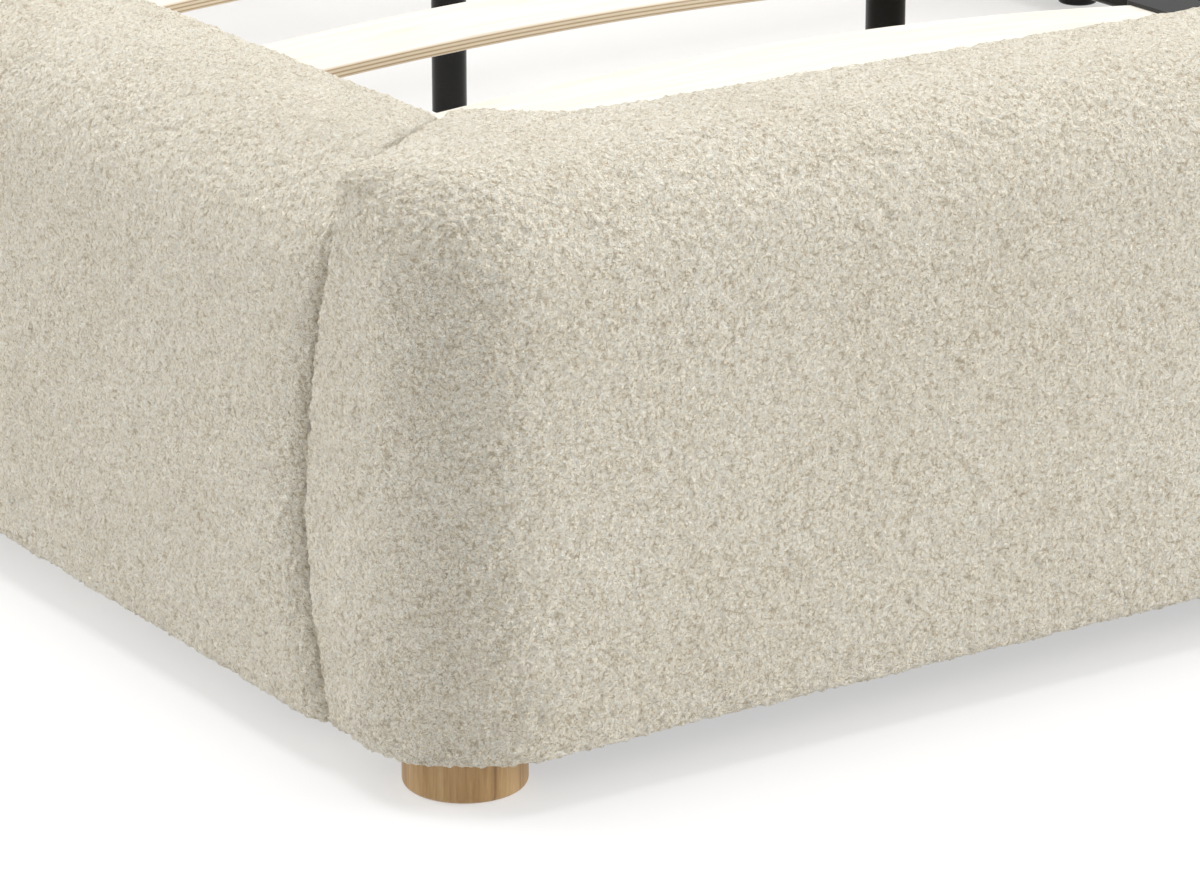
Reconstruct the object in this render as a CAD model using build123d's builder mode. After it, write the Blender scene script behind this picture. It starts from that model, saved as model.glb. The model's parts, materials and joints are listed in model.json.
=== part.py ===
from build123d import *
import os
from collections import namedtuple
from math import asin, degrees

# Queen-size upholstered platform bed, in millimetres.
# Origin on the floor under the middle of the bed, +X to the right seen from the foot,
# +Y towards the headboard, +Z up.

# ---------------------------------------------------------------- driving dimensions
mattress_width = 1524
mattress_length = 2032
end_room = 8                # spare length of the mattress bay
rail_thick = 134
footboard_thick = 162
headboard_thick = 142
base_z = 31                 # underside of the upholstery
rail_top = 398
footboard_top = 410
headboard_top = 1060

cover_thick = 3             # boucle cloth with its backing
dust_thick = 1              # black cloth stapled under each board
panel_thick = 9             # plywood skins of the timber boxes
batten_high = 45
batten_bay_count = 4
hem_width = 25              # cover turned under each board

box_side_inset = 32         # from the cover's outer face to the timber box
box_back_inset = 36         # the same, on the footboard's mattress side
box_top_inset = 60
headboard_side_inset = 53
headboard_inset = 28
headboard_top_inset = 70
rail_inner_inset = 14
rail_end_inset = 12

slat_rows = 8
slat_first = 169            # centre of the first slat from the footboard
slat_pitch = 230
slat_wide = 85
slat_thick = 10
slat_bow = 19               # rise of the slat at its middle
slat_rail_gap = 10          # from the slat's end to the rail
slat_beam_gap = 4           # from the slat's end to the centre beam
cap_base = 4
cap_wide = 93
cap_high = 21
cap_long = 43
cap_rail_gap = 2

ledger_wide = 35
ledger_high = 45
ledger_top = 323
beam_wide = 30
beam_high = 25
beam_wall = 2

leg_radius = 16
leg_wall = 1.5
leg_bottom = 30
flange_thick = 4
flange_wide = 44
flange_long = 80
leg_y = (-426, 235)
insert_long = 32
stem_radius = 4
stem_top = 66
thread_room = 0.08          # running clearance round the levelling stem
pad_radius = 20
pad_high = 8
pad_floor = 3               # plastic left under the stem
hex_low = 8.2
hex_high = 13

bracket_reach = 60
bracket_thick = 4
bracket_low = 110
bracket_high = 260
bracket_bolt_z = 35         # from the bracket's ends to its bolts
bracket_bolt_out = 40       # from the corner to its bolts
stirrup_thick = 3
stirrup_half = 60           # half the width of the stirrup's back plate
stirrup_reach = 50
stirrup_screw_x = 47
stirrup_screw_z = 5
flange_screw_y = 30
ledger_screw_first = 60
ledger_screw_pitch = 240
ledger_screw_rows = 9
screw_bite = 12             # how far a ledger screw goes into the batten
hanger_low = 8              # lower end of the feet's hanger bolts

foot_radius = 40
foot_x = 824
foot_y = 1098
rail_foot_radius = 20
rail_foot_x = 827
rail_foot_y = 350

# ---------------------------------------------------------------- derived places
inner_x = mattress_width / 2
outer_x = inner_x + rail_thick
half_length = (footboard_thick + mattress_length + end_room + headboard_thick) / 2
bay_front = footboard_thick - half_length
bay_back = half_length - headboard_thick
frame_z = base_z + cover_thick
ledger_low = ledger_top - ledger_high
beam_top = ledger_top + cap_high
beam_low = beam_top - beam_high
slat_y = [bay_front + slat_first + slat_pitch * row for row in range(slat_rows)]
slat_end_z = ledger_top + cap_base
slat_inner_x = beam_wide / 2 + slat_beam_gap
slat_outer_x = inner_x - slat_rail_gap
sides = {"left": -1, "right": 1}
ends = {"front": bay_front, "rear": bay_back}

# A padded board: its outer corners, its timber box's corners, and the corner radii
# (low pair, high pair) of its outlines seen from above, from the front and from the side.
Board = namedtuple("Board", "name low high box_low box_high plan front side")
# A screw or bolt: the point under its head, its direction into the work, and its sizes.
Screw = namedtuple("Screw", "seat way length radius head_radius head_high")


def footboard():
    low = (-outer_x, -half_length, base_z)
    high = (outer_x, bay_front, footboard_top)
    box_low = (-outer_x + box_side_inset, -half_length + box_side_inset, frame_z)
    box_high = (outer_x - box_side_inset, bay_front - box_back_inset, footboard_top - box_top_inset)
    return Board("footboard", low, high, box_low, box_high, (78, 20), (25, 70), (25, 72))


def headboard():
    low = (-outer_x, bay_back, base_z)
    high = (outer_x, half_length, headboard_top)
    box_low = (-outer_x + headboard_side_inset, bay_back + headboard_inset, frame_z)
    box_high = (outer_x - headboard_side_inset, half_length - headboard_inset,
                headboard_top - headboard_top_inset)
    return Board("headboard", low, high, box_low, box_high, (35, 50), (0, 140), (0, 0))


def side_rail(name, sign):
    """The left rail is the right one mirrored, and both butt flat against the end boards."""
    x_limits = sorted((sign * inner_x, sign * outer_x))
    x_box = sorted((sign * (inner_x + rail_inner_inset), sign * (outer_x - box_side_inset)))
    low = (x_limits[0], bay_front, base_z)
    high = (x_limits[1], bay_back, rail_top)
    box_low = (x_box[0], bay_front + rail_end_inset, frame_z)
    box_high = (x_box[1], bay_back - rail_end_inset, rail_top - box_top_inset)
    return Board(name + "_rail", low, high, box_low, box_high, (0, 0), (14, 58), (0, 0))


# ---------------------------------------------------------------- screws and bolts
def ledger_screw_list():
    rows = [bay_front + ledger_screw_first + ledger_screw_pitch * row for row in range(ledger_screw_rows)]
    length = ledger_wide + rail_inner_inset + panel_thick + screw_bite
    return [
        Screw((sign * (inner_x - ledger_wide), y, ledger_low + ledger_high / 2),
              (sign, 0, 0), length, 3, 6, 3)
        for sign in sides.values() for y in rows
    ]


def corner_bolt_list():
    """Two bolts into the rail and two into the end board at each corner."""
    bolts = []
    for sign in sides.values():
        for end_y in ends.values():
            inward = 1 if end_y < 0 else -1
            for z in (bracket_low + bracket_bolt_z, bracket_high - bracket_bolt_z):
                rail_seat = (sign * (inner_x - bracket_thick), end_y + inward * bracket_bolt_out, z)
                board_seat = (sign * (inner_x - bracket_bolt_out), end_y + inward * bracket_thick, z)
                bolts.append(Screw(rail_seat, (sign, 0, 0), 45, 4, 7.5, 5))
                bolts.append(Screw(board_seat, (0, -inward, 0), 66, 4, 7.5, 5))
    return bolts


def beam_screw_list():
    """Four screws through each stirrup, and two up through each leg's flange."""
    screws = []
    for end_y in ends.values():
        inward = 1 if end_y < 0 else -1
        for x in (-stirrup_screw_x, stirrup_screw_x):
            for z in (beam_low + stirrup_screw_z, beam_top - stirrup_screw_z):
                seat = (x, end_y + inward * stirrup_thick, z)
                screws.append(Screw(seat, (0, -inward, 0), 62, 2.5, 5, 3))
    for y in leg_y:
        for offset in (-flange_screw_y, flange_screw_y):
            seat = (0, y + offset, beam_low - flange_thick)
            screws.append(Screw(seat, (0, 0, 1), 14, 3, 6, 4))
    return screws


def four_corners(x, y):
    return [(sx * x, sy * y) for sx in (-1, 1) for sy in (-1, 1)]


def foot_bolt_list():
    """Headless hanger bolts, half in the foot and half in the timber above it."""
    places = four_corners(foot_x, foot_y) + four_corners(rail_foot_x, rail_foot_y)
    return [Screw((x, y, hanger_low), (0, 0, 1), 70, 4, 0, 0) for x, y in places]


def shanks(screws):
    """The shafts alone, which are also the holes they need."""
    with BuildPart() as group:
        for screw in screws:
            with BuildSketch(Plane(origin=screw.seat, z_dir=screw.way)):
                Circle(screw.radius)
            extrude(amount=screw.length)
    return group.part


def whole_screws(screws):
    shafts = shanks(screws)
    with BuildPart() as group:
        add(shafts)
        for screw in screws:
            with BuildSketch(Plane(origin=screw.seat, z_dir=screw.way)):
                Circle(screw.head_radius)
            extrude(amount=-screw.head_high)
    return group.part


ledger_screw_set = ledger_screw_list()
corner_bolt_set = corner_bolt_list()
beam_screw_set = beam_screw_list()
foot_bolt_set = foot_bolt_list()
all_holes = shanks(ledger_screw_set + corner_bolt_set + beam_screw_set + foot_bolt_set)


# ---------------------------------------------------------------- padded boards
def outline_extrusion(plane, low, high, radii, depth):
    """A rectangle on a plane, its low and high corners rounded, drawn out both ways."""
    with BuildPart() as block:
        with BuildSketch(plane) as outline:
            with Locations(((low[0] + high[0]) / 2, (low[1] + high[1]) / 2)):
                Rectangle(high[0] - low[0], high[1] - low[1])
            for radius, row in ((radii[1], -1), (radii[0], 0)):
                if radius > 0:
                    fillet(outline.vertices().group_by(Axis.Y)[row], radius=radius)
        extrude(amount=depth / 2, both=True)
    return block.part


def padded_block(board, inset):
    """The board's rounded outer shape, or the same shape drawn in by an inset."""
    low = [value + inset for value in board.low]
    high = [value - inset for value in board.high]
    mid = [(a + b) / 2 for a, b in zip(low, high)]
    size = [b - a for a, b in zip(low, high)]
    plan, front, side = (
        [max(radius - inset, 0) for radius in radii]
        for radii in (board.plan, board.front, board.side)
    )
    across = outline_extrusion(Plane.XZ.offset(-mid[1]), low[::2], high[::2], front, size[1])
    endwise = outline_extrusion(Plane.YZ.offset(mid[0]), low[1:], high[1:], side, size[0])
    upward = outline_extrusion(Plane.XY.offset(mid[2]), low[:2], high[:2], plan, size[2])
    with BuildPart() as block:
        add(across)
        if board.name == "headboard":
            for face_row, radius in ((0, plan[0]), (-1, plan[1])):
                rim = block.faces().sort_by(Axis.Y)[face_row].edges().sort_by(Axis.Z)[1:]
                fillet(rim, radius=radius)
        if board.name == "footboard":
            add(endwise, mode=Mode.INTERSECT)
            add(upward, mode=Mode.INTERSECT)
    return block.part


def bottom_opening(board, height):
    """A slab that fills the opening inside the cover's turned-under hem, from its underside up."""
    spread = [board.high[i] - board.low[i] - 2 * hem_width for i in (0, 1)]
    centre = [(board.high[i] + board.low[i]) / 2 for i in (0, 1)]
    with BuildPart() as slab:
        with BuildSketch(Plane.XY.offset(frame_z - height)):
            with Locations(tuple(centre)):
                RectangleRounded(*spread, radius=min(spread) / 2 - 2)
        extrude(amount=height)
    return slab.part


def timber_box(board, down=0):
    """The whole of the timber box, as one block that may reach below it."""
    size = [b - a for a, b in zip(board.box_low, board.box_high)]
    mid = [(a + b) / 2 for a, b in zip(board.box_low, board.box_high)]
    with BuildPart() as block:
        with BuildSketch(Plane.XY.offset(board.box_low[2] - down)):
            with Locations(tuple(mid[:2])):
                Rectangle(size[0], size[1])
        extrude(amount=size[2] + down)
    return block.part


def save(piece, name):
    piece.part.label = name
    export_step(piece.part, "parts/" + name + ".step")


def cut_and_save(name, whole, cuts):
    """Saves what is left of a shape when others, and the screw holes, are cut from it."""
    with BuildPart() as piece:
        add(whole)
        for cut in cuts:
            add(cut, mode=Mode.SUBTRACT)
        add(all_holes, mode=Mode.SUBTRACT)
    save(piece, name)


def make_cover(board):
    inside = padded_block(board, cover_thick)
    opening = bottom_opening(board, cover_thick)
    cut_and_save(board.name + "_cover", padded_block(board, 0), [inside, opening])


def make_foam(board):
    room = timber_box(board, down=10)
    cut_and_save(board.name + "_foam", padded_block(board, cover_thick), [room])


def long_axis(board):
    return 1 if board.name.endswith("rail") else 0


def between_panels(board):
    """The timber box without its two plywood skins."""
    low = list(board.box_low)
    high = list(board.box_high)
    low[1 - long_axis(board)] += panel_thick
    high[1 - long_axis(board)] -= panel_thick
    return board._replace(box_low=low, box_high=high)


def make_panels(board):
    """The two plywood skins on the broad faces of the timber box."""
    core = timber_box(between_panels(board))
    cut_and_save(board.name + "_panels", timber_box(board), [core])


def batten_bays(board):
    """The open bays between a batten along the top, one along the bottom, and the uprights."""
    core = between_panels(board)
    axis = long_axis(board)
    rows = [(core.box_low[2] + batten_high, core.box_high[2] - batten_high)]
    if board.name == "headboard":
        middle = (core.box_low[2] + core.box_high[2]) / 2
        rows = [(rows[0][0], middle - batten_high / 2), (middle + batten_high / 2, rows[0][1])]
    step = (core.box_high[axis] - core.box_low[axis] - batten_high) / batten_bay_count
    bays = []
    for bay in range(batten_bay_count):
        for bay_bottom, bay_top in rows:
            low = list(core.box_low)
            high = list(core.box_high)
            low[axis] = core.box_low[axis] + batten_high + step * bay
            high[axis] = core.box_low[axis] + step * (bay + 1)
            low[2] = bay_bottom
            high[2] = bay_top
            bays.append(timber_box(core._replace(box_low=low, box_high=high)))
    return bays


def make_battens(board):
    whole = timber_box(between_panels(board))
    cut_and_save(board.name + "_battens", whole, batten_bays(board))


def make_dust_cover(board):
    """Black cloth over the timber inside the hem, with holes round the feet."""
    feet = four_corners(foot_x, foot_y)
    rail_feet_places = four_corners(rail_foot_x, rail_foot_y)
    cloth = bottom_opening(board, dust_thick)
    with BuildPart() as dust_cover:
        add(cloth)
        for places, radius in ((feet, foot_radius), (rail_feet_places, rail_foot_radius)):
            with BuildSketch(Plane.XY.offset(base_z)):
                with Locations(*places):
                    Circle(radius + 0.5)
            extrude(amount=cover_thick, mode=Mode.SUBTRACT)
    save(dust_cover, board.name + "_dust_cover")


# ---------------------------------------------------------------- slats and their caps
def bowed_slat(sign, y):
    """A sprung half slat from the side rail to the centre beam, highest at its middle."""
    middle = sign * (slat_inner_x + slat_outer_x) / 2
    half_chord = (slat_outer_x - slat_inner_x) / 2
    bow_radius = (half_chord ** 2 + slat_bow ** 2) / (2 * slat_bow)
    bow_axis = Axis((middle, y, slat_end_z + slat_bow - bow_radius), (0, 1, 0))
    spread = degrees(asin(half_chord / bow_radius))
    crown = slat_end_z + slat_bow + slat_thick / 2
    with BuildPart() as slat:
        with BuildSketch(Plane.YZ.offset(middle)) as section:
            with Locations((y, crown)):
                Rectangle(slat_wide, slat_thick)
            fillet(section.vertices().group_by(Axis.Y)[-1], radius=3)
            fillet(section.vertices().group_by(Axis.Y)[0], radius=1)
        revolve(axis=bow_axis, revolution_arc=spread)
        mirror(about=Plane.YZ.offset(middle))
    return slat


def cap_group(x_low, x_high):
    """Plastic holders round the slats' ends, one for each row on each side."""
    with BuildPart() as caps:
        for y in slat_y:
            for sign in sides.values():
                with BuildSketch(Plane.XY.offset(ledger_top)):
                    with Locations((sign * (x_low + x_high) / 2, y)):
                        RectangleRounded(x_high - x_low, cap_wide, radius=5)
                extrude(amount=cap_high)
        for slat in slats.values():
            add(slat.part, mode=Mode.SUBTRACT)
    return caps


# ---------------------------------------------------------------- beam, legs and glides
def leg_tube(y):
    """Steel tube with a flange welded on top, bolted under the beam."""
    flange_low = beam_low - flange_thick
    with BuildPart() as leg:
        with BuildSketch(Plane.XY.offset(leg_bottom)):
            with Locations((0, y)):
                Circle(leg_radius)
                Circle(leg_radius - leg_wall, mode=Mode.SUBTRACT)
        extrude(amount=flange_low - leg_bottom)
        with BuildSketch(Plane.XY.offset(flange_low)):
            with Locations((0, y)):
                RectangleRounded(flange_wide, flange_long, radius=6)
        extrude(amount=flange_thick)
        add(all_holes, mode=Mode.SUBTRACT)
    return leg


def glide_stem(y):
    """Threaded stem with a hexagon to turn it by; the thread is drawn as a plain rod."""
    with BuildPart() as stem:
        with BuildSketch(Plane.XY.offset(pad_floor + 0.1)):
            with Locations((0, y)):
                Circle(stem_radius)
        extrude(amount=stem_top - pad_floor - 0.1)
        chamfer(stem.edges().group_by(Axis.Z)[-1], length=1)
        with BuildSketch(Plane.XY.offset(hex_low)):
            with Locations((0, y)):
                RegularPolygon(radius=7.5, side_count=6)
        extrude(amount=hex_high - hex_low)
    return stem


def glide_pad(y):
    """Plastic disc that stays still on the floor while the stem turns in its socket."""
    with BuildPart() as pad:
        with BuildSketch():
            with Locations((0, y)):
                Circle(pad_radius)
        extrude(amount=pad_high)
        fillet(pad.edges().group_by(Axis.Z)[-1], radius=2.5)
        with BuildSketch(Plane.XY.offset(pad_floor)):
            with Locations((0, y)):
                Circle(stem_radius + thread_room)
        extrude(amount=pad_high, mode=Mode.SUBTRACT)
    return pad


# ================================================================ making the pieces
os.makedirs("parts", exist_ok=True)

boards = [footboard(), headboard()] + [side_rail(*side) for side in sides.items()]
for board in boards:
    make_cover(board)
    make_foam(board)
    make_panels(board)
    make_battens(board)
    make_dust_cover(board)

slats = {}
for side, sign in sides.items():
    for row, y in enumerate(slat_y, start=1):
        slats[f"slat_{side}_{row}"] = bowed_slat(sign, y)
for name, slat in slats.items():
    save(slat, name)

save(cap_group(inner_x - cap_rail_gap - cap_long, inner_x - cap_rail_gap), "slat_rail_caps")
save(cap_group(beam_wide / 2, beam_wide / 2 + cap_long), "slat_centre_caps")

for side, sign in sides.items():
    with BuildPart() as ledger:
        with BuildSketch(Plane.XY.offset(ledger_low)):
            with Locations((sign * (inner_x - ledger_wide / 2), (bay_front + bay_back) / 2)):
                Rectangle(ledger_wide, bay_back - bay_front - 10)
        extrude(amount=ledger_high)
        inner_edges = ledger.edges().filter_by(Axis.Y).group_by(Axis.X)[0 if sign > 0 else -1]
        fillet(inner_edges, radius=3)
        add(all_holes, mode=Mode.SUBTRACT)
    save(ledger, side + "_slat_ledger")

with BuildPart() as centre_beam:
    beam_length = bay_back - bay_front - 2 * (stirrup_thick + 2)
    with BuildSketch(Plane.XZ.offset(-(bay_front + bay_back) / 2)):
        with Locations((0, (beam_low + beam_top) / 2)):
            RectangleRounded(beam_wide, beam_high, radius=3)
            RectangleRounded(beam_wide - 2 * beam_wall, beam_high - 2 * beam_wall, radius=1,
                             mode=Mode.SUBTRACT)
    extrude(amount=beam_length / 2, both=True)
    add(all_holes, mode=Mode.SUBTRACT)
save(centre_beam, "centre_beam")

with BuildPart() as beam_stirrups:
    for end_y in ends.values():
        inward = 1 if end_y < 0 else -1
        cheek_low = beam_low - stirrup_thick
        cheek_mid = (cheek_low + beam_top) / 2
        with BuildSketch(Plane.XZ.offset(-end_y)):
            with Locations((0, cheek_mid)):
                RectangleRounded(2 * stirrup_half, beam_top - cheek_low, radius=6)
        extrude(amount=-inward * stirrup_thick)
        with BuildSketch(Plane.XZ.offset(-end_y)):
            with Locations((0, cheek_mid)):
                Rectangle(beam_wide + 2 * stirrup_thick + 1, beam_top - cheek_low)
            with Locations((0, cheek_mid + stirrup_thick)):
                Rectangle(beam_wide + 1, beam_top - cheek_low, mode=Mode.SUBTRACT)
        extrude(amount=-inward * stirrup_reach)
    add(all_holes, mode=Mode.SUBTRACT)
save(beam_stirrups, "beam_stirrups")

with BuildPart() as corner_brackets:
    for sign in sides.values():
        for end_y in ends.values():
            inward = 1 if end_y < 0 else -1
            with BuildSketch(Plane.XY.offset(bracket_low)):
                with Locations((sign * (inner_x - bracket_reach / 2), end_y + inward * bracket_reach / 2)):
                    Rectangle(bracket_reach, bracket_reach)
                free = bracket_reach - bracket_thick
                free_x = sign * (inner_x - bracket_thick - free / 2)
                with Locations((free_x, end_y + inward * (bracket_thick + free / 2))):
                    Rectangle(free, free, mode=Mode.SUBTRACT)
            extrude(amount=bracket_high - bracket_low)
    add(all_holes, mode=Mode.SUBTRACT)
save(corner_brackets, "corner_brackets")

for place, y in zip(("front", "rear"), leg_y):
    save(leg_tube(y), place + "_centre_leg")
    save(glide_stem(y), place + "_glide_stem")
    save(glide_pad(y), place + "_glide_pad")

with BuildPart() as leg_inserts:
    with BuildSketch(Plane.XY.offset(leg_bottom)):
        with Locations(*[(0, y) for y in leg_y]):
            Circle(leg_radius - leg_wall)
            Circle(stem_radius + thread_room, mode=Mode.SUBTRACT)
    extrude(amount=insert_long)
save(leg_inserts, "leg_inserts")

for end_name, end_sign in (("front", -1), ("rear", 1)):
    for side, sign in sides.items():
        with BuildPart() as foot:
            with BuildSketch():
                with Locations((sign * foot_x, end_sign * foot_y)):
                    Circle(foot_radius)
            extrude(amount=frame_z)
            fillet(foot.edges().group_by(Axis.Z)[0], radius=5)
            add(all_holes, mode=Mode.SUBTRACT)
        save(foot, f"{end_name}_{side}_foot")

with BuildPart() as rail_feet:
    with BuildSketch():
        with Locations(*four_corners(rail_foot_x, rail_foot_y)):
            Circle(rail_foot_radius)
    extrude(amount=frame_z)
    fillet(rail_feet.edges().group_by(Axis.Z)[0], radius=3)
    add(all_holes, mode=Mode.SUBTRACT)
save(rail_feet, "rail_feet")

screw_sets = {
    "ledger_screws": ledger_screw_set,
    "corner_bolts": corner_bolt_set,
    "beam_screws": beam_screw_set,
}
for name, screws in screw_sets.items():
    complete = whole_screws(screws)
    with BuildPart() as group:
        add(complete)
    save(group, name)

hangers = shanks(foot_bolt_set)
with BuildPart() as foot_bolts:
    add(hangers)
save(foot_bolts, "foot_bolts")
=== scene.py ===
import bpy
import json
import math
import numpy as np
from mathutils import Euler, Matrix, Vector


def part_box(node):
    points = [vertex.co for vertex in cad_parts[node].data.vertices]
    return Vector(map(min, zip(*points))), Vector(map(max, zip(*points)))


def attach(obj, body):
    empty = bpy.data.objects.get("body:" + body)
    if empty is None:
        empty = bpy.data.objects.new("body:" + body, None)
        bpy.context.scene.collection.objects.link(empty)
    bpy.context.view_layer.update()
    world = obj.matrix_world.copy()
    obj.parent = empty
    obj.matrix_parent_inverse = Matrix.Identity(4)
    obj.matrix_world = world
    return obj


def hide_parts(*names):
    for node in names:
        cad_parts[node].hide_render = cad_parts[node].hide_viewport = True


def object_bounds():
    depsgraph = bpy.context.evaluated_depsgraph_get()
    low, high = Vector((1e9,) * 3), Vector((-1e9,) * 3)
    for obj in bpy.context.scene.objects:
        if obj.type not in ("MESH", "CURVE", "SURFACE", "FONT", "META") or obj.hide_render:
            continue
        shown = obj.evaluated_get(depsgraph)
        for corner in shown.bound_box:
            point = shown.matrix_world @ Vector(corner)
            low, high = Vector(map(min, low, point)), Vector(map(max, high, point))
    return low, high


# Upholstered platform bed, metres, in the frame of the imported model: the floor is z = 0,
# the footboard faces -Y and the headboard stands at +Y.
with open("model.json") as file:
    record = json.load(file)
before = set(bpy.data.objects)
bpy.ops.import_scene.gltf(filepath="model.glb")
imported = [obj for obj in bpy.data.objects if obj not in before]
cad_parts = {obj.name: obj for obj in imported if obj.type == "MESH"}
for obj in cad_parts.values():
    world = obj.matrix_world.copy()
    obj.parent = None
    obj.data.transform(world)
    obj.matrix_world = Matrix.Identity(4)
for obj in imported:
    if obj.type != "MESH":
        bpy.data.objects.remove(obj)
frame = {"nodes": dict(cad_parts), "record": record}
nodes = frame["nodes"]
cad_low, cad_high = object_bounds()

# ---------------------------------------------------------------- camera and stage
CAMERA_PLACE = (-2.4259, -3.6565, 1.2181)
CAMERA_PITCH = math.radians(18.17)      # below the horizon
CAMERA_HEADING = math.radians(33.66)    # from +Y towards +X
CAMERA_LENS = 154.8
SENSOR_WIDTH = 36.0
VIEW_END = 200.0
FLOOR_HALF = 60.0
FLOOR_GLOW = 0.50                       # the floor is a lit white table, so its shadows stay faint
WORLD_STRENGTH = 0.67


def make_camera():
    data = bpy.data.cameras.new("camera")
    data.lens = CAMERA_LENS
    data.sensor_width = SENSOR_WIDTH
    data.clip_end = VIEW_END
    camera = bpy.data.objects.new("camera", data)
    camera.location = CAMERA_PLACE
    camera.rotation_euler = Euler((math.pi / 2 - CAMERA_PITCH, 0.0, -CAMERA_HEADING))
    bpy.context.scene.collection.objects.link(camera)
    bpy.context.scene.camera = camera


def make_object(name, vertices, faces):
    mesh = bpy.data.meshes.new(name)
    mesh.from_pydata([tuple(v) for v in vertices], [], [tuple(f) for f in faces])
    mesh.validate()
    piece = bpy.data.objects.new(name, mesh)
    bpy.context.scene.collection.objects.link(piece)
    return piece


def make_floor():
    r = FLOOR_HALF
    floor = make_object("floor", [(-r, -r, 0), (r, -r, 0), (r, r, 0), (-r, r, 0)], [(0, 1, 2, 3)])
    glow = {"Emission Color": (1, 1, 1, 1), "Emission Strength": FLOOR_GLOW}
    floor.data.materials.append(new_material("floor_paper", (0.45, 0.45, 0.45), 0.9, glow))


def area_light(name, place, target, size, power, colour=(1, 1, 1)):
    data = bpy.data.lights.new(name, "AREA")
    data.shape = "RECTANGLE"
    data.size, data.size_y = size
    data.energy = power
    data.color = colour
    light = bpy.data.objects.new(name, data)
    light.location = place
    way = [t - p for t, p in zip(target, place)]
    light.rotation_euler = Vector(way).to_track_quat("-Z", "Y").to_euler()
    light.visible_camera = False
    bpy.context.scene.collection.objects.link(light)


def make_lights():
    world = bpy.data.worlds.new("studio")
    world.use_nodes = True
    background = world.node_tree.nodes["Background"]
    background.inputs["Color"].default_value = (1.0, 0.995, 0.985, 1)
    background.inputs["Strength"].default_value = WORLD_STRENGTH
    bpy.context.scene.world = world
    area_light("overhead", (0.0, 0.3, 5.5), (0, 0, 0.3), (5.0, 5.0), 315)
    area_light("left_rear", (-4.5, 4.5, 2.4), (0, -0.3, 0.2), (3.5, 3.0), 215, (1.0, 0.985, 0.96))
    area_light("right_front", (5.5, -5.0, 2.2), (0, -0.5, 0.2), (3.5, 3.0), 345, (1.0, 0.995, 0.985))


# ---------------------------------------------------------------- material helpers
def new_material(name, colour, roughness, constants=()):
    """A material with one Principled shader, its constant values on the shader's own sockets."""
    material = bpy.data.materials.new(name)
    material.use_nodes = True
    shader = material.node_tree.nodes["Principled BSDF"]
    shader.inputs["Base Color"].default_value = (*colour, 1)
    shader.inputs["Roughness"].default_value = roughness
    for key, value in dict(constants).items():
        shader.inputs[key].default_value = value
    return material


class Graph:
    """Short calls for adding linked nodes to one material."""

    def __init__(self, material):
        self.tree = material.node_tree
        self.shader = self.tree.nodes["Principled BSDF"]
        self.place = self.node("ShaderNodeTexCoord").outputs["Object"]

    def node(self, kind, inputs=(), **settings):
        made = self.tree.nodes.new(kind)
        for key, value in settings.items():
            setattr(made, key, value)
        for key, value in dict(inputs).items():
            if isinstance(value, bpy.types.NodeSocket):
                self.tree.links.new(value, made.inputs[key])
            else:
                made.inputs[key].default_value = value
        return made

    def stretched(self, scale):
        return self.node("ShaderNodeMapping", {"Vector": self.place, "Scale": scale}).outputs["Vector"]

    def vector(self, operation, inputs):
        return self.node("ShaderNodeVectorMath", inputs, operation=operation).outputs[0]

    def noise(self, vector, scale, detail=3.0, roughness=0.55, distortion=0.0):
        values = {"Vector": vector, "Scale": scale, "Detail": detail, "Roughness": roughness,
                  "Distortion": distortion}
        return self.node("ShaderNodeTexNoise", values).outputs["Fac"]

    def cells(self, vector, scale, smooth=0.4):
        values = {"Vector": vector, "Scale": scale, "Smoothness": smooth}
        return self.node("ShaderNodeTexVoronoi", values, feature="SMOOTH_F1").outputs["Distance"]

    def math(self, operation, a, b=0.0, c=0.0, clamp=False):
        made = self.node("ShaderNodeMath", {0: a, 1: b, 2: c}, operation=operation)
        made.use_clamp = clamp
        return made.outputs[0]

    def ramp(self, value, stops):
        """A colour ramp. Each stop is (position, colour)."""
        made = self.node("ShaderNodeValToRGB", {"Fac": value})
        elements = made.color_ramp.elements
        while len(elements) < len(stops):
            elements.new(0.5)
        for element, (position, colour) in zip(elements, stops):
            element.position = position
            element.color = (*colour, 1)
        return made.outputs["Color"]

    def mix(self, amount, a, b, blend="MIX"):
        made = self.node("ShaderNodeMix", {0: amount}, data_type="RGBA", blend_type=blend)
        for index, value in ((6, a), (7, b)):
            if isinstance(value, bpy.types.NodeSocket):
                self.tree.links.new(value, made.inputs[index])
            else:
                made.inputs[index].default_value = (*value, 1)
        return made.outputs[2]

    def colour(self, socket):
        self.tree.links.new(socket, self.shader.inputs["Base Color"])

    def roughness(self, value, low, high):
        made = self.node("ShaderNodeMapRange", {"Value": value, "To Min": low, "To Max": high})
        self.tree.links.new(made.outputs["Result"], self.shader.inputs["Roughness"])

    def bump(self, height, distance, strength=1.0, before=None):
        values = {"Height": height, "Distance": distance, "Strength": strength}
        if before is not None:
            values["Normal"] = before
        made = self.node("ShaderNodeBump", values).outputs["Normal"]
        self.tree.links.new(made, self.shader.inputs["Normal"])
        return made


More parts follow.
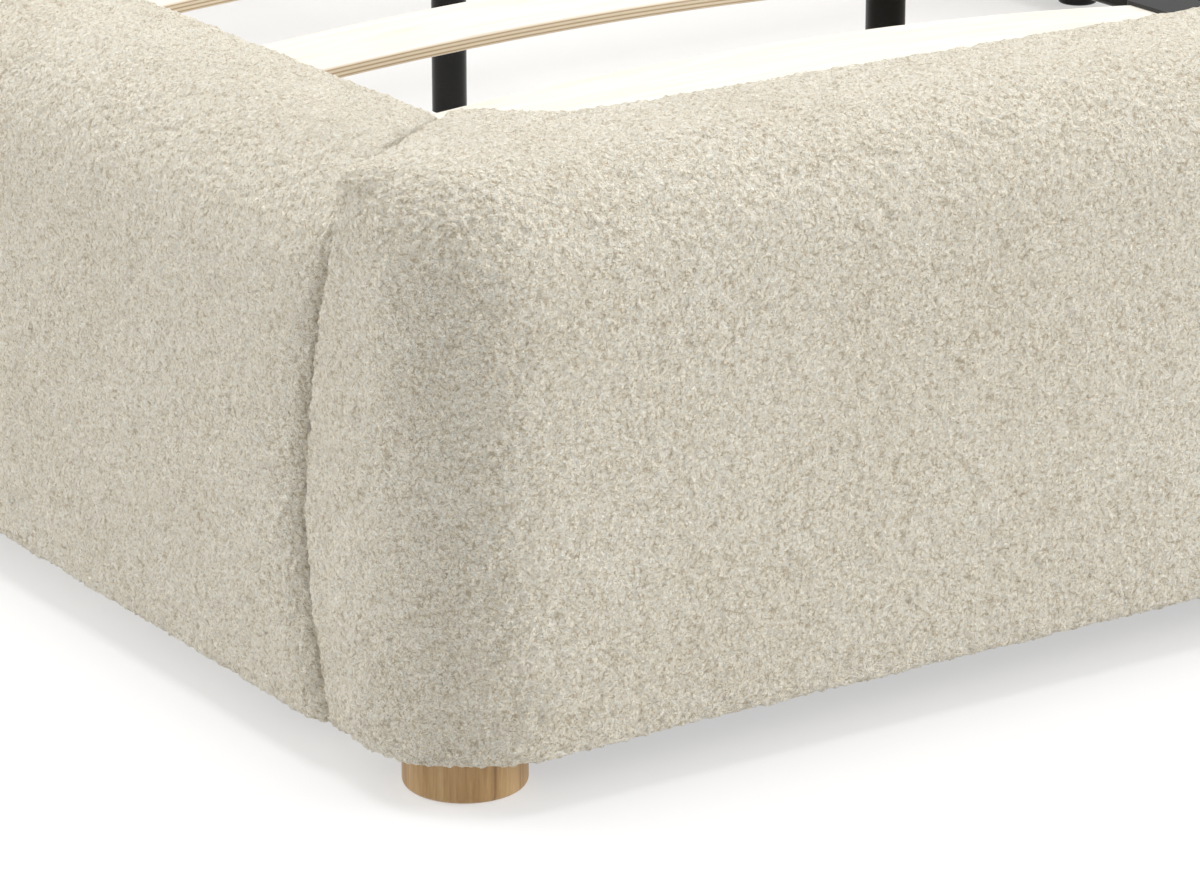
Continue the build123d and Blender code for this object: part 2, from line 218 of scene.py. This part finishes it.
# ---------------------------------------------------------------- materials
def boucle():
    """Looped cream pile: pale painted highlight on the curl tops over warmer, darker painted shade in
    the gaps, with slow tonal drift.
    """
    constants = {"Sheen Weight": 0.25, "Sheen Roughness": 0.5, "Specular IOR Level": 0.15}
    material = new_material("boucle", (0.80, 0.74, 0.63), 0.95, constants)
    g = Graph(material)
    wobble = g.node("ShaderNodeTexNoise", {"Vector": g.place, "Scale": 260.0, "Detail": 2.0})
    shift = g.vector("SUBTRACT", {0: wobble.outputs["Color"], 1: (0.5, 0.5, 0.5)})
    shift = g.vector("SCALE", {0: shift, "Scale": 0.0045})
    warped = g.vector("ADD", {0: g.place, 1: shift})
    cells = g.cells(warped, 400.0, 0.25)
    fibres = g.noise(warped, 900.0, 3.0, 0.65, 0.6)
    winding = g.noise(g.place, 330.0, 1.0, 0.5, 1.6)
    off_ridge = g.math("ABSOLUTE", g.math("SUBTRACT", winding, 0.5))
    curls = g.math("SUBTRACT", 1.0, g.math("MULTIPLY", off_ridge, 9.0), clamp=True)
    clumps = g.noise(g.place, 95.0, 2.0, 0.5)
    height = g.math("MULTIPLY_ADD", cells, -0.75, g.math("MULTIPLY_ADD", curls, 0.32, fibres))
    height = g.math("MULTIPLY_ADD", clumps, 0.28, height)
    # Colour from the pile height: painted shade in the low gaps between curls, painted highlight on the
    # high curl tops.
    tone = g.math("MULTIPLY_ADD", height, 1.30, 0.11, clamp=True)
    pile = g.ramp(tone, [(0.16, (0.60, 0.51, 0.375)), (0.36, (0.84, 0.75, 0.59)),
                         (0.55, (0.97, 0.89, 0.735)), (0.80, (1.0, 0.965, 0.85))])
    drift = g.noise(g.place, 9.0, 2.0)
    slow = g.ramp(drift, [(0.3, (0.965, 0.955, 0.94)), (0.7, (1.0, 1.0, 1.0))])
    g.colour(g.mix(1.0, pile, slow, "MULTIPLY"))
    first = g.bump(height, 0.0024, 1.0)
    g.bump(g.noise(g.place, 1500.0, 2.0), 0.0006, 0.7, first)
    return material


def dust_cloth():
    """Black spun-bonded cloth with its small pressed dots."""
    material = new_material("dust_cloth", (0.02, 0.02, 0.02), 0.9)
    g = Graph(material)
    dots = g.cells(g.place, 550.0, 0.1)
    g.colour(g.ramp(dots, [(0.1, (0.012, 0.012, 0.012)), (0.6, (0.035, 0.035, 0.036))]))
    g.bump(dots, 0.0004, 0.6)
    return material


def foam():
    """Open-cell foam, slightly yellow, with painted shade in the grooves between its cells."""
    material = new_material("foam", (0.86, 0.83, 0.70), 0.95)
    g = Graph(material)
    pores = g.cells(g.place, 900.0, 0.2)
    # Darker where the bump sinks between the cells: painted shade.
    g.colour(g.ramp(pores, [(0.1, (0.88, 0.85, 0.72)), (0.8, (0.70, 0.66, 0.52))]))
    g.bump(pores, -0.0006, 0.7)
    return material


def grained(name, pale, dark, stretch):
    """Timber: rings and fibres drawn out along the axis that the stretch leaves small."""
    ring_scale = 9.0
    material = new_material(name, pale, 0.55)
    g = Graph(material)
    along = g.stretched(stretch)
    rings = g.noise(along, ring_scale, 4.0, 0.5, 1.2)
    fibres = g.noise(along, ring_scale * 9, 4.0, 0.7)
    tone = g.math("MULTIPLY_ADD", fibres, 0.45, g.math("MULTIPLY", rings, 0.75), clamp=True)
    mid = [(a + b) / 2 for a, b in zip(pale, dark)]
    g.colour(g.ramp(tone, [(0.38, dark), (0.55, mid), (0.72, pale)]))
    g.roughness(fibres, 0.47, 0.67)
    g.bump(fibres, 0.0002, 0.7)
    return material


def foot_wood():
    """Turned foot of pale hardwood: vertical fibres, pores and one darker vein."""
    material = new_material("foot_wood", (0.42, 0.27, 0.14), 0.42)
    g = Graph(material)
    along = g.stretched((1.0, 1.0, 0.07))
    bands = g.noise(along, 38.0, 3.0, 0.5, 0.8)
    fibres = g.noise(along, 420.0, 4.0, 0.7)
    tone = g.math("MULTIPLY_ADD", fibres, 0.5, g.math("MULTIPLY", bands, 0.7), clamp=True)
    wood = g.ramp(tone, [(0.36, (0.18, 0.085, 0.026)), (0.5, (0.29, 0.155, 0.055)),
                         (0.62, (0.375, 0.225, 0.088)), (0.78, (0.48, 0.325, 0.155))])
    veins = g.noise(g.stretched((1.0, 1.0, 0.02)), 26.0, 1.0, 0.4, 0.4)
    ridge = g.math("ABSOLUTE", g.math("SUBTRACT", veins, 0.5))
    vein = g.ramp(ridge, [(0.0, (0.45, 0.40, 0.36)), (0.012, (1, 1, 1))])
    g.colour(g.mix(0.8, wood, vein, "MULTIPLY"))
    g.roughness(fibres, 0.36, 0.5)
    g.bump(fibres, 0.00015, 0.6)
    return material


SLAT_THICK = 0.010
SLAT_PLIES = 7


def slat_birch():
    """Bowed ply: pale face grain along X, and glue lines that follow the bow on the edges."""
    low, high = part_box("slat_right_1")
    half_chord = (high[0] - low[0]) / 2
    bow = high[2] - low[2] - SLAT_THICK
    radius = (half_chord ** 2 + bow ** 2) / (2 * bow) + SLAT_THICK
    middle_x = (low[0] + high[0]) / 2
    middle_z = high[2] - radius
    material = new_material("slat_birch", (0.86, 0.80, 0.69), 0.5)
    g = Graph(material)
    grain = g.noise(g.stretched((0.05, 1.0, 1.0)), 160.0, 4.0, 0.6, 0.5)
    face = g.ramp(grain, [(0.3, (0.60, 0.555, 0.475)), (0.5, (0.675, 0.635, 0.56)),
                          (0.7, (0.71, 0.675, 0.61))])
    axes = g.node("ShaderNodeSeparateXYZ", {0: g.place})
    across = g.math("SUBTRACT", g.math("ABSOLUTE", axes.outputs["X"]), middle_x)
    up = g.math("SUBTRACT", axes.outputs["Z"], middle_z)
    square = g.math("MULTIPLY_ADD", across, across, g.math("MULTIPLY", up, up))
    depth = g.math("SUBTRACT", radius, g.math("SQRT", square))
    waver = g.noise(g.stretched((0.2, 1.0, 1.0)), 40.0, 2.0)
    layer = g.math("MULTIPLY_ADD", waver, 0.35, g.math("MULTIPLY", depth, SLAT_PLIES / SLAT_THICK))
    stripe = g.math("PINGPONG", layer, 1.0)
    plies = g.ramp(stripe, [(0.0, (0.30, 0.20, 0.11)), (0.22, (0.53, 0.40, 0.26)),
                            (0.6, (0.70, 0.59, 0.43)), (1.0, (0.76, 0.67, 0.52))])
    normal = g.node("ShaderNodeNewGeometry").outputs["Normal"]
    side = g.math("ABSOLUTE", g.node("ShaderNodeSeparateXYZ", {0: normal}).outputs["Y"])
    edge = g.math("MULTIPLY_ADD", side, 3.0, -2.0, clamp=True)
    g.colour(g.mix(edge, face, plies))
    g.roughness(grain, 0.42, 0.6)
    g.bump(grain, 0.00015, 0.6)
    return material


def black_steel():
    """Gloss black powder coat with a faint orange peel."""
    constants = {"Specular IOR Level": 0.22, "Coat Weight": 0.06, "Coat Roughness": 0.12}
    material = new_material("black_steel", (0.006, 0.006, 0.005), 0.3, constants)
    g = Graph(material)
    peel = g.noise(g.place, 380.0, 2.0)
    dust = g.noise(g.place, 30.0, 5.0, 0.7)
    g.colour(g.ramp(dust, [(0.3, (0.004, 0.004, 0.0035)), (0.8, (0.010, 0.010, 0.009))]))
    g.roughness(dust, 0.16, 0.32)
    g.bump(peel, 0.0002, 0.25)
    return material


def black_plastic():
    """Moulded plastic with a fine spark texture."""
    material = new_material("black_plastic", (0.018, 0.018, 0.018), 0.55, {"Specular IOR Level": 0.3})
    g = Graph(material)
    grit = g.noise(g.place, 1500.0, 3.0, 0.7)
    g.colour(g.ramp(grit, [(0.3, (0.012, 0.012, 0.012)), (0.8, (0.03, 0.03, 0.031))]))
    g.roughness(grit, 0.45, 0.65)
    g.bump(grit, 0.0002, 0.4)
    return material


def zinc_steel():
    """Zinc-plated steel with cloudy patches."""
    material = new_material("zinc_steel", (0.62, 0.62, 0.60), 0.35, {"Metallic": 1.0})
    g = Graph(material)
    clouds = g.noise(g.place, 120.0, 4.0, 0.6)
    g.colour(g.ramp(clouds, [(0.3, (0.50, 0.50, 0.49)), (0.7, (0.72, 0.72, 0.69))]))
    g.roughness(clouds, 0.28, 0.45)
    g.bump(clouds, 0.0001, 0.3)
    return material


# ---------------------------------------------------------------- padded shapes
EDGE_LINES = (0.003, 0.007)  # extra grid lines this far from each end, for tight rims


def spaced(low, high, step, fine=None):
    """Grid lines from low to high. fine=(place, step) crowds them on the low side of a place."""
    if fine is None:
        lines = np.linspace(low, high, max(2, round((high - low) / step)) + 1)
    else:
        place, fine_step = fine
        first = np.linspace(low, place, round((place - low) / fine_step) + 1)
        lines = np.concatenate([first, np.linspace(place, high, round((high - place) / step) + 1)[1:]])
    rims = [low + d for d in EDGE_LINES] + [high - d for d in EDGE_LINES]
    return np.sort(np.concatenate([lines, rims]))


def box_grid(lines):
    """A closed box of quads whose vertices lie on the three lists of grid lines."""
    points, quads, count = [], [], 0
    for axis in range(3):
        u_axis, v_axis = (axis + 1) % 3, (axis + 2) % 3
        u, v = np.meshgrid(lines[u_axis], lines[v_axis], indexing="ij")
        rows, columns = u.shape
        index = np.arange(rows * columns).reshape(rows, columns)
        ring = [index[:-1, :-1], index[1:, :-1], index[1:, 1:], index[:-1, 1:]]
        for end in (0, -1):
            face = np.zeros((rows * columns, 3))
            face[:, u_axis], face[:, v_axis] = u.ravel(), v.ravel()
            face[:, axis] = lines[axis][end]
            order = ring if end else ring[::-1]
            points.append(face)
            quads.append(np.stack([corner.ravel() for corner in order], axis=1) + count)
            count += rows * columns
    points, quads = np.concatenate(points), np.concatenate(quads)
    _, first, inverse = np.unique(np.round(points * 1e6).astype(int), axis=0,
                                  return_index=True, return_inverse=True)
    return points[first], inverse.ravel()[quads]


def outline(u, v, low, high, radii):
    """Distance to a rectangle with rounded corners: low-low, high-low, high-high, low-high."""
    from_u, from_v = u - (low[0] + high[0]) / 2, v - (low[1] + high[1]) / 2
    upper = np.where(from_u > 0, radii[2], radii[3])
    lower = np.where(from_u > 0, radii[1], radii[0])
    radius = np.where(from_v > 0, upper, lower)
    out_u = np.abs(from_u) - (high[0] - low[0]) / 2 + radius
    out_v = np.abs(from_v) - (high[1] - low[1]) / 2 + radius
    inside = np.minimum(np.maximum(out_u, out_v), 0)
    return inside + np.hypot(np.maximum(out_u, 0), np.maximum(out_v, 0)) - radius


def extruded(base, along, low, high, low_radius, high_radius):
    """Distance to an outline that is extruded from low to high, with its end rims rounded over."""
    above = along > (low + high) / 2
    radius = np.where(above, high_radius, low_radius)
    end = np.where(above, along - high, low - along)
    out_side, out_end = base + radius, end + radius
    inside = np.minimum(np.maximum(out_side, out_end), 0)
    return inside + np.hypot(np.maximum(out_side, 0), np.maximum(out_end, 0)) - radius


WRAP_ROUNDS = 14
WRAP_NUDGE = 1e-5           # step over which the distance's slope is measured
WRAP_LEAST_SLOPE = 0.3      # square of the slope below which a step is shortened
SOFTEN_ROUNDS = 2
SOFTEN_SHARE = 0.5


def wrap(points, distance):
    """Moves each point onto the surface where the distance is zero."""
    for _ in range(WRAP_ROUNDS):
        here = distance(points)
        ahead = [distance(points + WRAP_NUDGE * axis) for axis in np.eye(3)]
        slope = np.stack([(there - here) / WRAP_NUDGE for there in ahead], axis=1)
        size = np.maximum((slope ** 2).sum(axis=1), WRAP_LEAST_SLOPE)
        points = points - slope * (here / size)[:, None]
    return points


def neighbours_mean(points, quads):
    total, count = np.zeros_like(points), np.zeros(len(points))
    for a, b in ((0, 1), (1, 2), (2, 3), (3, 0)):
        for start, end in ((quads[:, a], quads[:, b]), (quads[:, b], quads[:, a])):
            np.add.at(total, start, points[end])
            np.add.at(count, start, 1)
    return total / count[:, None]


def soften(points, quads):
    """Evens the mitred corners, as foam under cloth does."""
    for _ in range(SOFTEN_ROUNDS):
        points = points + (neighbours_mean(points, quads) - points) * SOFTEN_SHARE
    return points


def evaluated_copy(piece):
    """Replaces the piece's mesh by what its modifiers make, and drops them."""
    graph = bpy.context.evaluated_depsgraph_get()
    mesh = bpy.data.meshes.new_from_object(piece.evaluated_get(graph))
    piece.modifiers.clear()
    old = piece.data
    piece.data = mesh
    bpy.data.meshes.remove(old)


def vertex_places(piece):
    places = np.empty(len(piece.data.vertices) * 3)
    piece.data.vertices.foreach_get("co", places)
    return places.reshape(-1, 3)


STAPLED_HEIGHT = 0.004      # the part of the underside that the cloth simulation holds still
CLOTH_PRESSURE = 4.0
CLOTH_STIFFNESS = 25.0
CLOTH_BENDING = 2.0
CLOTH_FRAMES = 20


def inflate(piece, cap):
    """Swells the cover as cloth over foam. The stapled underside stays, and no point passes the cap."""
    start = vertex_places(piece)
    stapled = piece.vertex_groups.new(name="stapled")
    under = np.nonzero(start[:, 2] < start[:, 2].min() + STAPLED_HEIGHT)[0]
    stapled.add([int(i) for i in under], 1.0, "REPLACE")
    cloth = piece.modifiers.new("cloth", "CLOTH")
    cloth.settings.use_pressure = True
    cloth.settings.uniform_pressure_force = CLOTH_PRESSURE
    cloth.settings.effector_weights.gravity = 0.0
    cloth.settings.vertex_group_mass = "stapled"
    cloth.settings.tension_stiffness = CLOTH_STIFFNESS
    cloth.settings.compression_stiffness = CLOTH_STIFFNESS
    cloth.settings.bending_stiffness = CLOTH_BENDING
    cloth.point_cache.frame_end = CLOTH_FRAMES
    for step in range(1, CLOTH_FRAMES + 1):
        bpy.context.scene.frame_set(step)
    evaluated_copy(piece)
    shift = vertex_places(piece) - start
    size = np.linalg.norm(shift, axis=1)
    shift *= (cap * np.tanh(size / cap) / np.maximum(size, 1e-9))[:, None]
    piece.data.vertices.foreach_set("co", (start + shift).ravel())
    piece.vertex_groups.clear()
    bpy.context.scene.frame_set(1)


NAP_LEVELS = 2
NAP = (("lumps", "CLOUDS", 0.035, 0.0018),      # name, texture, size, height
       ("clumps", "CLOUDS", 0.010, 0.0022),
       ("curls", "VORONOI", 0.0052, -0.0030))


def nub_texture(name, kind, scale):
    texture = bpy.data.textures.new(name, kind)
    texture.noise_scale = scale
    return texture


def raise_nap(piece):
    """Subdivides the cover, then raises its curls and the slower lumps beneath them."""
    smooth = piece.modifiers.new("smooth", "SUBSURF")
    smooth.levels = smooth.render_levels = NAP_LEVELS
    for name, kind, scale, strength in NAP:
        nap = piece.modifiers.new(name, "DISPLACE")
        nap.texture = nub_texture(piece.name + "_" + name, kind, scale)
        nap.texture_coords = "LOCAL"
        nap.strength = strength
        nap.mid_level = 0.5
    evaluated_copy(piece)
    piece.data.shade_smooth()


def make_padded(board, lines, distance, warp, material, cap):
    """One board's cover with its foam: wrapped on the shape, warped, swollen and napped."""
    points, quads = box_grid(lines)
    points = soften(wrap(points, distance), quads)
    piece = make_object(board + "_boucle", warp(points), quads)
    inflate(piece, cap)
    raise_nap(piece)
    piece.data.materials.append(material)
    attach(piece, "bed")
    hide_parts(board + "_cover", board + "_foam")


# ---------------------------------------------------------------- the four padded boards
SWELL = 0.003               # the shapes start this much inside the CAD faces, and swell back
FINE = 0.009                # grid step near the corner that is seen close
MEDIUM = 0.0126
COARSE = 0.018
FOOTBOARD_FINE_END = -0.30  # x up to which the footboard's grid is fine
RAIL_FINE_END = -0.43       # y up to which the left rail's grid is fine
SEAM_RADIUS = 0.010         # how softly the footboard's back turns into the seam
RAIL_END_RADIUS = 0.018     # the same for the rail's end
FOOTBOARD_CORNER = 0.080
FOOTBOARD_TOP_RADIUS = 0.074
FOOTBOARD_BACK_RADIUS = 0.036
FOOTBOARD_FOOT_RADIUS = 0.014
FOOTBOARD_CROWN = 0.003     # how much higher the footboard's top is along its middle
FOOTBOARD_CROWN_Z = 0.2     # height from where the crown and the sag build up
FOOTBOARD_CAP = 0.004


def smooth_step(value, start, end):
    t = np.clip((value - start) / (end - start), 0, 1)
    return t * t * (3 - 2 * t)


# The seam between rail and footboard, on the outer face: it stands furthest back at
# CROWN_Z, and leans towards the foot end above and below that. Over the top it turns
# back again towards the mattress.
CROWN_Z = 0.165
UPPER_LEAN = 0.043
UPPER_REACH = 0.200
UPPER_POWER = 1.7
UPPER_LIMIT = 1.05          # share of the reach at which the lean stops growing
LOWER_LEAN = 0.029
LOWER_REACH = 0.127
LOWER_LIMIT = 1.1
TURN_START = 0.025          # distance in from the outer face
TURN_WIDTH = 0.11
TURN_SLOPE = 0.75
TURN_LOW_Z, TURN_HIGH_Z = 0.300, 0.390


def seam_shift(x, z):
    """How far the seam stands behind the plane between rail and footboard."""
    inward = cad_high[0] - np.abs(x)
    above = np.clip((z - CROWN_Z) / UPPER_REACH, 0, UPPER_LIMIT)
    below = np.clip((CROWN_Z - z) / LOWER_REACH, 0, LOWER_LIMIT)
    turn = TURN_SLOPE * np.clip(inward - TURN_START, 0, TURN_WIDTH)
    lean = UPPER_LEAN * above ** UPPER_POWER + LOWER_LEAN * below ** 2
    return turn * smooth_step(z, TURN_LOW_Z, TURN_HIGH_Z) - lean


def shrunk_box(node, amount):
    """The node's box drawn in by an amount, except at the stapled underside."""
    low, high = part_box(node)
    low, high = np.array(low) + amount, np.array(high) - amount
    low[2] -= amount
    return low, high


HEM_WIDTH = 0.025           # cover turned under each board
HEM_DEPTH = 0.004           # how deep the underside lies inside the hem
HEM_STEP = 0.004            # width over which the hem's inner edge steps up
UNDERSIDE = (0.002, 0.004)  # heights between which the underside's lift fades out


def recess(points, low, high):
    """Lifts the underside inside the hem, where the dust cover goes."""
    radius = (high - low)[:2].min() / 2
    inside = -outline(points[:, 0], points[:, 1], low[:2], high[:2], (radius,) * 4)
    under = 1 - smooth_step(points[:, 2] - low[2], *UNDERSIDE)
    points[:, 2] += HEM_DEPTH * smooth_step(inside, HEM_WIDTH, HEM_WIDTH + HEM_STEP) * under
    return points


def grid_lines(low, high, steps, fine=(None, None, None)):
    return [spaced(low[i], high[i], steps[i], fine[i]) for i in range(3)]


SEAM_SAG = 0.004            # how much the footboard's top comes down to meet the rail
SEAM_FADE = (0.130, 0.225)  # distances from the outer face over which the seam's shape fades


def make_footboard(material):
    low, high = shrunk_box("footboard_cover", SWELL)
    high[1] += SWELL
    middle = (low[1] + high[1]) / 2

    def near_seam(x):
        return 1 - smooth_step(cad_high[0] - np.abs(x), *SEAM_FADE)

    def shape(p):
        x, y, z = p.T
        back = smooth_step(y, low[1], high[1])
        rear = FOOTBOARD_BACK_RADIUS + (SEAM_RADIUS - FOOTBOARD_BACK_RADIUS) * near_seam(x)
        top = FOOTBOARD_TOP_RADIUS + (rear - FOOTBOARD_TOP_RADIUS) * back
        plan = outline(x, y, low[:2], high[:2], (FOOTBOARD_CORNER,) * 2 + (SEAM_RADIUS,) * 2)
        return extruded(plan, z, low[2], high[2], FOOTBOARD_FOOT_RADIUS, top)

    def warp(p):
        x, y, z = p.T
        share = np.clip((y - middle) / (high[1] - middle), 0, 1)
        beside = near_seam(x)
        lift = FOOTBOARD_CROWN * (1 - beside) - SEAM_SAG * beside * share ** 2
        p[:, 2] += lift * smooth_step(z, FOOTBOARD_CROWN_Z, high[2])
        p[:, 1] += seam_shift(x, z) * share * beside
        return recess(p, low, high)

    lines = grid_lines(low, high, (COARSE, FINE, FINE), ((FOOTBOARD_FINE_END, FINE), None, None))
    make_padded("footboard", lines, shape, warp, material, cap=FOOTBOARD_CAP)


RAIL_TOP_RADII = {"inner": 0.022, "outer": 0.075}
RAIL_CROWN = 0.009          # how much higher the full top of the padding stands
RAIL_LIP = 0.013            # how far the padding's top leans in over the slats' ends
RAIL_LIP_Z = (0.346, 0.385)  # heights between which the lip grows
RAIL_CAP = 0.004
RAIL_FOOT_RADIUS = 0.008
SEAM_REACH = 0.22           # how far along the rail the seam's shape is felt


def make_rail(side, material):
    low, high = shrunk_box(side + "_rail_cover", SWELL)
    low[1] -= 2 * SWELL
    high[2] += RAIL_CROWN
    inward = 1 if side == "left" else -1
    middle = (low[0] + high[0]) / 2
    half = (high[0] - low[0]) / 2
    high_x, low_x = ("inner", "outer") if side == "left" else ("outer", "inner")
    radii = (RAIL_FOOT_RADIUS, RAIL_FOOT_RADIUS, RAIL_TOP_RADII[high_x], RAIL_TOP_RADII[low_x])

    def shape(p):
        x, y, z = p.T
        across = outline(x, z, low[[0, 2]], high[[0, 2]], radii)
        return extruded(across, y, low[1], high[1], RAIL_END_RADIUS, RAIL_END_RADIUS)

    def warp(p):
        x, y, z = p.T
        p[:, 1] += seam_shift(x, z) * (1 - smooth_step(y, low[1], low[1] + SEAM_REACH))
        inner_half = smooth_step(inward * (x - middle), 0, half)
        p[:, 0] += inward * RAIL_LIP * smooth_step(z, *RAIL_LIP_Z) * inner_half
        return recess(p, low, high)

    if side == "left":
        lines = grid_lines(low, high, (FINE, COARSE, FINE), (None, (RAIL_FINE_END, FINE), None))
    else:
        lines = grid_lines(low, high, (MEDIUM, MEDIUM, MEDIUM))
    make_padded(side + "_rail", lines, shape, warp, material, cap=RAIL_CAP)


HEADBOARD_CORNER = 0.150
HEADBOARD_RIMS = (0.045, 0.055)     # of the front and of the back
HEADBOARD_FOOT_RADIUS = 0.008
HEADBOARD_STEPS = (0.020, 0.014, 0.018)
HEADBOARD_CAP = 0.006


def make_headboard(material):
    low, high = shrunk_box("headboard_cover", SWELL)
    below = np.array([low[0], low[2] - 2 * max(HEADBOARD_RIMS)])

    def shape(p):
        x, y, z = p.T
        foot, corner = HEADBOARD_FOOT_RADIUS, HEADBOARD_CORNER
        face = outline(x, z, below, high[[0, 2]], (foot, foot, corner, corner))
        slab = extruded(face, y, low[1], high[1], *HEADBOARD_RIMS)
        return extruded(slab, z, low[2], high[2] + corner, foot, foot)

    def warp(p):
        return recess(p, low, high)

    lines = grid_lines(low, high, HEADBOARD_STEPS)
    make_padded("headboard", lines, shape, warp, material, cap=HEADBOARD_CAP)


# ---------------------------------------------------------------- dust covers
SHEET_STEP = 0.012
SHEET_ROWS = 11
SHEET_SAG = 0.0012
SHEET_ROUNDING = 0.985      # share of the half width at which a sheet's rounded end stops
STAPLE_PITCH = 0.055
STAPLE_SIZE = (0.010, 0.0012, 0.0005)   # length, width, thickness
STAPLE_MARGIN = 6           # grid columns without staples at each end


def make_dust_sheet(board, material, steel):
    """Black cloth inside the hem, a little slack between its staples."""
    low, high = (np.array(corner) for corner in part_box(board + "_dust_cover"))
    along = 0 if high[0] - low[0] > high[1] - low[1] else 1
    length, width = (high - low)[along], (high - low)[1 - along]
    half = width / 2
    columns = np.linspace(-length / 2, length / 2, round(length / SHEET_STEP) + 1)
    end = np.clip(np.abs(columns) - (length / 2 - half), 0, half * SHEET_ROUNDING)
    reach = np.sqrt(half ** 2 - end ** 2)
    rows = np.linspace(-1, 1, SHEET_ROWS)
    lengthways = np.repeat(columns, len(rows))
    crossways = np.outer(reach, rows).ravel()
    slack = np.outer(np.ones(len(columns)), 1 - rows ** 2).ravel()
    ripple = 0.55 + 0.45 * np.cos(lengthways * 2 * math.pi / STAPLE_PITCH)
    points = np.zeros((len(lengthways), 3))
    points[:, along] = lengthways + (low + high)[along] / 2
    points[:, 1 - along] = crossways + (low + high)[1 - along] / 2
    points[:, 2] = low[2] - SHEET_SAG * slack * ripple
    index = np.arange(len(points)).reshape(len(columns), len(rows))
    quads = np.stack([index[:-1, :-1], index[1:, :-1], index[1:, 1:], index[:-1, 1:]], axis=-1)
    sheet = make_object(board + "_dust_sheet", points, quads.reshape(-1, 4))
    sheet.data.shade_smooth()
    sheet.data.materials.append(material)
    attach(sheet, "bed")
    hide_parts(board + "_dust_cover")
    make_staples(board, along, points, index, steel)


def make_staples(board, along, points, index, steel):
    """A row of staples down each long edge of a dust cover."""
    vertices, faces = [], []
    every = max(1, round(STAPLE_PITCH / SHEET_STEP))
    for column in range(STAPLE_MARGIN, index.shape[0] - STAPLE_MARGIN, every):
        for row in (1, index.shape[1] - 2):
            place = points[index[column, row]]
            half = [STAPLE_SIZE[1] / 2] * 2
            half[along] = STAPLE_SIZE[0] / 2
            start = len(vertices)
            for dz in (-STAPLE_SIZE[2] * 2, 0):
                for sx, sy in ((-1, -1), (1, -1), (1, 1), (-1, 1)):
                    vertices.append((place[0] + sx * half[0], place[1] + sy * half[1], place[2] + dz))
            faces.append([start + i for i in (3, 2, 1, 0)])
            faces.append([start + i for i in (4, 5, 6, 7)])
            faces += [[start + i, start + (i + 1) % 4, start + (i + 1) % 4 + 4, start + i + 4]
                      for i in range(4)]
    staples = make_object(board + "_staples", vertices, faces)
    staples.data.materials.append(steel)
    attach(staples, "bed")


# ---------------------------------------------------------------- CAD nodes' finishes
def dress_nodes(finishes):
    """Each CAD node takes the material of its slot in the record."""
    slots = {row["node"]: row["material_slot"] for row in frame["record"]["subparts"]}
    for name, node in nodes.items():
        node.data.materials.clear()
        node.data.materials.append(finishes[slots[name]])


def main():
    bpy.context.scene.view_settings.view_transform = "Standard"
    make_camera()
    make_floor()
    make_lights()
    cloth = boucle()
    finishes = {
        "boucle": cloth,
        "foam": foam(),
        "dust_cloth": dust_cloth(),
        "plywood": grained("plywood", (0.66, 0.50, 0.32), (0.45, 0.31, 0.17), (1.0, 1.0, 0.06)),
        "pine": grained("pine", (0.74, 0.57, 0.36), (0.56, 0.38, 0.19), (1.0, 0.05, 1.0)),
        "slat_birch": slat_birch(),
        "foot_wood": foot_wood(),
        "black_steel": black_steel(),
        "black_plastic": black_plastic(),
        "zinc_steel": zinc_steel(),
    }
    dress_nodes(finishes)
    make_footboard(cloth)
    make_rail("left", cloth)
    make_rail("right", cloth)
    make_headboard(cloth)
    for board in ("footboard", "headboard", "left_rail", "right_rail"):
        make_dust_sheet(board, finishes["dust_cloth"], finishes["zinc_steel"])


main()
